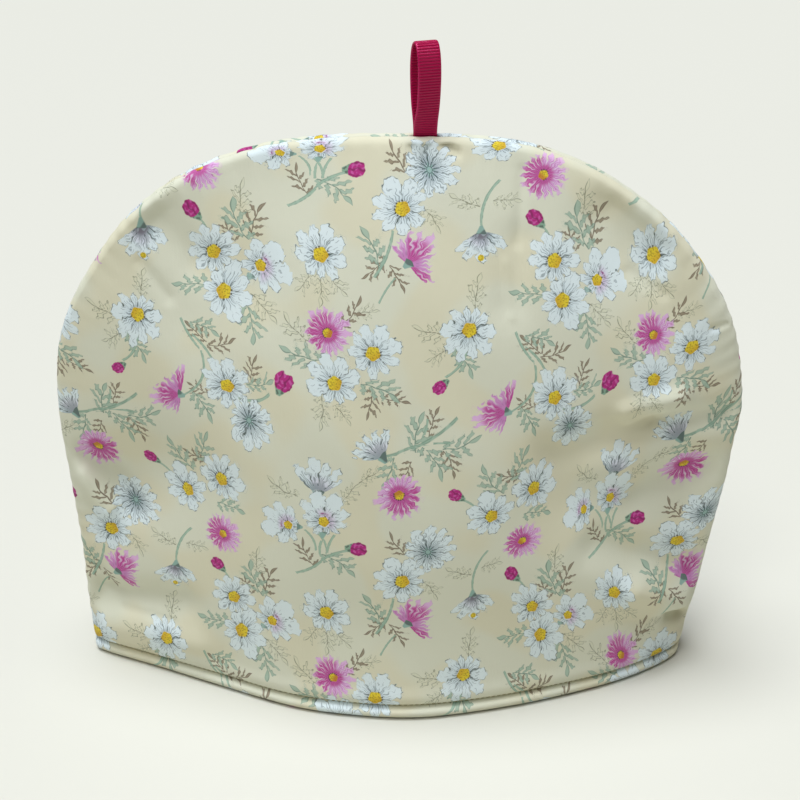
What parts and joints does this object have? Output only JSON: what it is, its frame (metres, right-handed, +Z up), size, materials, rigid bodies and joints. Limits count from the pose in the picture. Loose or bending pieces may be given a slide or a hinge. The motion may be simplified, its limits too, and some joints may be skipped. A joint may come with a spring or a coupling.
{
  "type": "tea cosy",
  "caption": "Padded cotton tea cosy with an arched outline, a stitched hem that it stands on and a ribbon loop at the top.",
  "frame": {"origin": "on the surface that the hem stands on, under the middle of the cosy's box", "axes": "+Z up towards the ribbon loop, -Y towards the front panel, +X to the right seen from the front"},
  "size_m": [0.3131, 0.1218, 0.301],
  "materials": {
    "printed_cotton": "printed plain-weave cotton over wadding, matte",
    "grosgrain_ribbon": "ribbed ribbon with a soft sheen"
  },
  "bodies": {
    "root": {"front_panel": "printed_cotton", "back_panel": "printed_cotton", "ribbon_loop": "grosgrain_ribbon"}
  },
  "joints": []
}
